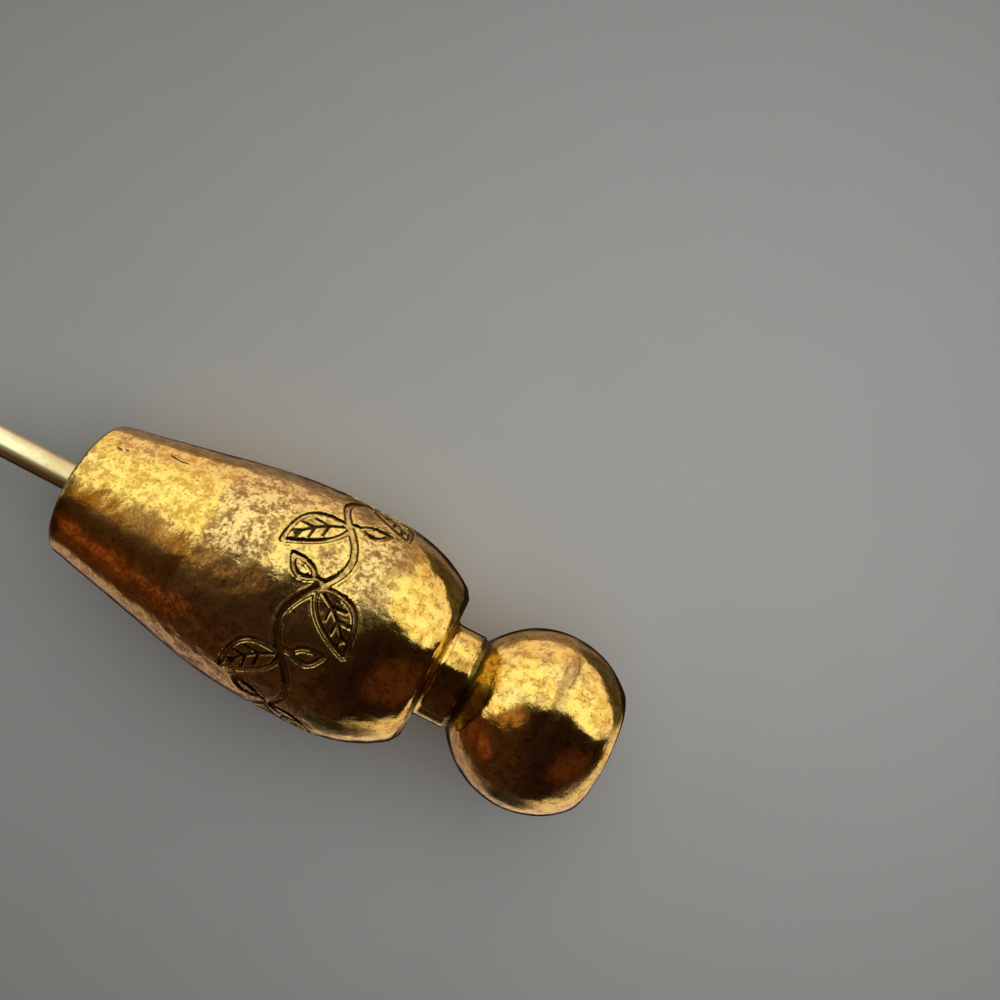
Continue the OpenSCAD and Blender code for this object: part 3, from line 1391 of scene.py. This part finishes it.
@dataclass(frozen=True)
class Surroundings:
    """What the pin mirrors, painted by direction, and the even dome that lights the floor.

    A ramp here reads a direction's share to the picture's right, to its top or towards the camera, each
    between -1 and 1.
    """

    window: Colour = (1.26, 1.24, 1.12)
    window_back: Colour = (1.0, 0.78, 0.72)
    window_fade: Ramp = (0.45, -0.55)
    window_slope: float = 0.2
    window_sill: Ramp = (-0.03, 0.04)
    window_far: Ramp = (-0.65, -0.59)
    window_lean: float = -0.8
    window_right: Ramp = (-1.03, -0.97)
    viewer_middle: float = 0.05
    viewer_reach: Ramp = (0.9, 0.4, 0.0, 0.48)
    viewer_near: Ramp = (0.0, 0.35)
    bar: Colour = (0.42, 0.25, 0.13)
    bar_deg: float = 52.0
    bar_width: Ramp = (0.12, 0.06, 0.0, 0.8)
    bar_from: Ramp = (0.35, 0.55)
    gloom: Colour = (0.017, 0.0075, 0.006)
    gloom_left: Colour = (0.046, 0.020, 0.012)
    gloom_turn: Ramp = (-0.05, -0.6)
    amber: Colour = (0.37, 0.195, 0.08)
    amber_up: Ramp = (0.06, 0.16)
    amber_left: Ramp = (-0.2, -0.5)
    amber_near: Ramp = (0.2, 0.5)
    streak: Colour = (0.74, 0.21, 0.065)
    streak_middle: float = 0.24
    streak_width: Ramp = (0.17, 0.02)
    streak_left: Ramp = (-0.80, -0.90)
    streak_down: Ramp = (-0.05, -0.25)
    glows: tuple[Glow, ...] = (
        Glow(305.0, 62.0, 32.0, (0.075, 0.024, 0.012)),
        Glow(192.0, 88.0, 30.0, (0.10, 0.030, 0.014)),
    )
    table_far: Colour = (0.28, 0.205, 0.17)
    table_side: Colour = (0.085, 0.064, 0.045)
    table_left: Colour = (0.40, 0.29, 0.285)
    table_right: Colour = (0.84, 0.68, 0.60)
    side_turn: Ramp = (0.36, 0.52)
    left_turn: Ramp = (-0.55, -0.05)
    near_turn: Ramp = (-0.12, -0.26)
    notch: Glow = Glow(250.0, 112.0, 24.0, (0.02, 0.015, 0.01))
    # Painted shadow: the pin's own shadow on the table close under it, dark in what the pin mirrors.
    own_shadow_bow: float = 0.12
    own_shadow_lift: Ramp = (-0.05, 0.15, 0.0, 0.17)
    own_shadow: Ramp = (-0.66, -0.76)
    edge_slope: float = -0.2
    edge_lift: Ramp = (-0.5, -0.72, 0.0, 0.08)
    edge: Ramp = (-0.08, -0.15)
    backdrop: Colour = (0.40, 0.405, 0.40)
    dome: Colour = (0.045, 0.046, 0.0455)

    def build(self, camera: PhotoCamera) -> bpy.types.World:
        """Makes the world and gives it to the scene.

        Args:
            camera: The camera whose picture the directions follow.

        Returns:
            The world.
        """
        world = bpy.data.worlds.new("studio")
        world.use_nodes = True
        graph = ShaderGraph(world.node_tree)
        pattern = SkyPattern(graph, camera, self)
        seen = graph.blend(pattern.table_share(), pattern.room(), pattern.table())
        path = graph.add("ShaderNodeLightPath")
        seen = graph.blend(path.outputs["Is Camera Ray"], seen, self.backdrop)
        seen = graph.blend(path.outputs["Is Diffuse Ray"], seen, self.dome)
        back = graph.add("ShaderNodeBackground", {"Color": seen, "Strength": 1.0})
        graph.add("ShaderNodeOutputWorld", {"Surface": back.outputs[0]})
        bpy.context.scene.world = world
        return world


class SkyPattern:
    """The pattern of the surroundings, as sockets of the world's shader."""

    def __init__(self, graph: ShaderGraph, camera: PhotoCamera, around: Surroundings) -> None:
        """Reads each direction's share to the picture's right, to its top and towards the camera.

        Args:
            graph: The shader's graph.
            camera: The camera whose picture the directions follow.
            around: The surroundings.
        """
        self.graph = graph
        self.around = around
        self.basis = camera.basis()
        self.way = graph.add("ShaderNodeTexCoord").outputs["Generated"]
        self.to_right, self.to_up, self.to_view = (graph.dot(self.way, axis) for axis in self.basis)
        self.window = self.window_share()

    def window_share(self) -> Socket:
        """Gives the window, above a sloping sill and round the dark outline of the viewer.

        Returns:
            The window's share.
        """
        graph, around = self.graph, self.around
        aside = graph.math("ABSOLUTE", graph.math("SUBTRACT", self.to_right, around.viewer_middle))
        viewer = graph.product(graph.ramp(aside, *around.viewer_reach),
                               graph.ramp(self.to_view, *around.viewer_near))
        level = graph.scaled(self.to_right, around.window_slope, self.to_up)
        corner = graph.scaled(self.to_right, around.window_lean, self.to_view)
        return graph.product(graph.ramp(graph.math("SUBTRACT", level, viewer), *around.window_sill),
                             graph.ramp(self.to_view, *around.window_far),
                             graph.ramp(corner, *around.window_right))

    def bar_share(self) -> Socket:
        """Gives the shade of the bar across the window.

        Returns:
            The bar's share.
        """
        graph, around = self.graph, self.around
        right, up, _ = self.basis
        turn = math.radians(around.bar_deg)
        along = graph.dot(self.way, right * math.cos(turn) + up * math.sin(turn))
        across = graph.dot(self.way, up * math.cos(turn) - right * math.sin(turn))
        return graph.product(graph.ramp(graph.math("ABSOLUTE", across), *around.bar_width),
                             graph.ramp(along, *around.bar_from), self.window)

    def amber_share(self) -> Socket:
        """Gives the dim warm ground between the window's sill and the dark, on the left.

        Returns:
            The amber ground's share.
        """
        graph, around = self.graph, self.around
        return graph.product(graph.ramp(self.to_up, *around.amber_up),
                             graph.ramp(self.to_right, *around.amber_left),
                             graph.ramp(self.to_view, *around.amber_near))

    def streak_share(self) -> Socket:
        """Gives the narrow reddish streak low on the left.

        Returns:
            The streak's share.
        """
        graph, around = self.graph, self.around
        aside = graph.math("ABSOLUTE", graph.math("SUBTRACT", self.to_view, around.streak_middle))
        return graph.product(graph.ramp(aside, *around.streak_width),
                             graph.ramp(self.to_right, *around.streak_left),
                             graph.ramp(self.to_up, *around.streak_down))

    def glow_over(self, ground: Socket, glow: Glow) -> Socket:
        """Paints a round patch that fades from its middle.

        Args:
            ground: The colour under it.
            glow: The patch.

        Returns:
            The colour with the patch.
        """
        right, up, towards = self.basis
        around, tilt = math.radians(glow.around_deg), math.radians(glow.from_view_deg)
        aside = right * math.cos(around) + up * math.sin(around)
        middle = aside * math.sin(tilt) + towards * math.cos(tilt)
        edge = math.cos(math.radians(glow.spread_deg))
        share = self.graph.ramp(self.graph.dot(self.way, middle), edge, 1.0)
        return self.graph.blend(share, ground, glow.colour)

    def room(self) -> Socket:
        """Paints the room: the dark, its warm patches, and the window with its bar.

        Returns:
            The colour.
        """
        graph, around = self.graph, self.around
        sky = graph.blend(graph.ramp(self.to_right, *around.gloom_turn), around.gloom, around.gloom_left)
        sky = graph.blend(self.amber_share(), sky, around.amber)
        sky = graph.blend(self.streak_share(), sky, around.streak)
        for glow in around.glows:
            sky = self.glow_over(sky, glow)
        bright = graph.blend(graph.ramp(self.to_view, *around.window_fade), around.window, around.window_back)
        sky = graph.blend(self.window, sky, bright)
        return graph.blend(self.bar_share(), sky, around.bar)

    def table(self) -> Socket:
        """Paints the table: its far and near parts, a dark notch, and the painted shadow of the pin on the
        table close under it.

        Returns:
            The colour.
        """
        graph, around = self.graph, self.around
        far = graph.blend(graph.ramp(self.to_right, *around.side_turn), around.table_far, around.table_side)
        near = graph.ramp(self.to_right, *around.left_turn)
        near = graph.blend(near, around.table_left, around.table_right)
        ground = graph.blend(graph.ramp(self.to_up, *around.near_turn), far, near)
        ground = self.glow_over(ground, around.notch)
        # Painted shadow of the pin on the table, towards the floor under it.
        own_shadow = graph.scaled(graph.math("ABSOLUTE", self.to_up), around.own_shadow_bow, self.to_view)
        own_shadow = graph.total(own_shadow, graph.ramp(self.to_up, *around.own_shadow_lift))
        return graph.blend(graph.ramp(own_shadow, *around.own_shadow), ground, around.gloom)

    def table_share(self) -> Socket:
        """Gives where the table is seen: below its edge, and not in front of the window.

        Returns:
            The table's share.
        """
        graph, around = self.graph, self.around
        edge = graph.scaled(graph.math("MINIMUM", self.to_right, 0.0), around.edge_slope, self.to_view)
        edge = graph.total(edge, graph.ramp(self.to_right, *around.edge_lift))
        return graph.product(graph.ramp(edge, *around.edge), graph.math("SUBTRACT", 1.0, self.window))


@dataclass(frozen=True)
class Lamp:
    """A soft round lamp that hangs face down, by its place in the picture.

    It brightens the floor under it, but the pin doesn't mirror it.
    """

    name: str
    spot_px: Point
    height: float
    size: float
    watts: float

    def hang(self, camera: PhotoCamera) -> None:
        """Hangs the lamp.

        Args:
            camera: The camera in whose picture it has its place.
        """
        data = bpy.data.lights.new(self.name, "AREA")
        data.shape = "DISK"
        data.size = self.size
        data.energy = self.watts
        light = bpy.data.objects.new(self.name, data)
        bpy.context.scene.collection.objects.link(light)
        light.visible_glossy = light.visible_camera = False
        place = camera.spot(self.spot_px)
        light.location = (place.x, place.y, self.height)


@dataclass
class Studio:
    """A plain pale floor under soft light, with a wide window on the picture's upper side."""

    camera: PhotoCamera
    surroundings: Surroundings = Surroundings()
    floor_size: float = 3.0
    floor_colour: Colour = (0.56, 0.565, 0.56)
    floor_dark: Colour = (0.5, 0.5, 0.5)
    floor_noise: Noise = (260.0, 3.0, 0.6)
    floor_grain: Ramp = (0.3, 0.7, 0.0, 0.12)
    lamps: tuple[Lamp, ...] = (
        Lamp("floor_lamp", (790.0, 465.0), 0.031, 0.042, 0.0055),
        Lamp("fill_lamp", (-260.0, 330.0), 0.022, 0.03, 0.0007),
    )

    def build(self) -> bpy.types.Object:
        """Adds the floor and lights the scene.

        Returns:
            The floor's object.
        """
        self.surroundings.build(self.camera)
        for lamp in self.lamps:
            lamp.hang(self.camera)
        clear_selection()
        bpy.ops.mesh.primitive_plane_add(size=self.floor_size)
        floor = bpy.context.active_object
        floor.name = floor.data.name = "floor"
        floor.visible_glossy = False
        floor.data.materials.append(self.floor_finish())
        return floor

    def floor_finish(self) -> bpy.types.Material:
        """Makes the floor's matt pale finish, with the faintest grain.

        Returns:
            The finished material.
        """
        material, graph = ShaderGraph.start("pale_floor")
        grain = graph.noise(graph.add("ShaderNodeTexCoord").outputs["Object"], *self.floor_noise)
        tone = graph.blend(graph.ramp(grain, *self.floor_grain), self.floor_colour, self.floor_dark)
        graph.finish({"Base Color": tone, "Roughness": 0.9, "Specular IOR Level": 0.0})
        return material


def hand_over(piece: bpy.types.Object, node: str) -> None:
    """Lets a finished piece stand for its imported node.

    Args:
        piece: The finished piece.
        node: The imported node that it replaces.
    """
    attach(piece, BODY)
    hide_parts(node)
    LOG.info("%s replaces %s: %d points", piece.name, node, len(piece.data.vertices))


def main() -> None:
    """Builds the pin, the camera and the studio, in that order."""
    logging.basicConfig(level=logging.INFO, format="%(name)s: %(message)s")
    axis = PinAxis.from_record(frame["record"])
    head = TurnedHead(axis).build()
    head.data.materials.append(AgedGilt().build(axis))
    hand_over(head, "head")
    wire = PinWire(axis).build()
    wire.data.materials.append(PaleBrass().build(axis))
    hand_over(wire, "pin_wire")
    camera = PhotoCamera(axis)
    camera.build()
    floor = Studio(camera).build()
    bpy.context.scene.view_settings.view_transform = "Standard"


if __name__ == "__main__":
    main()
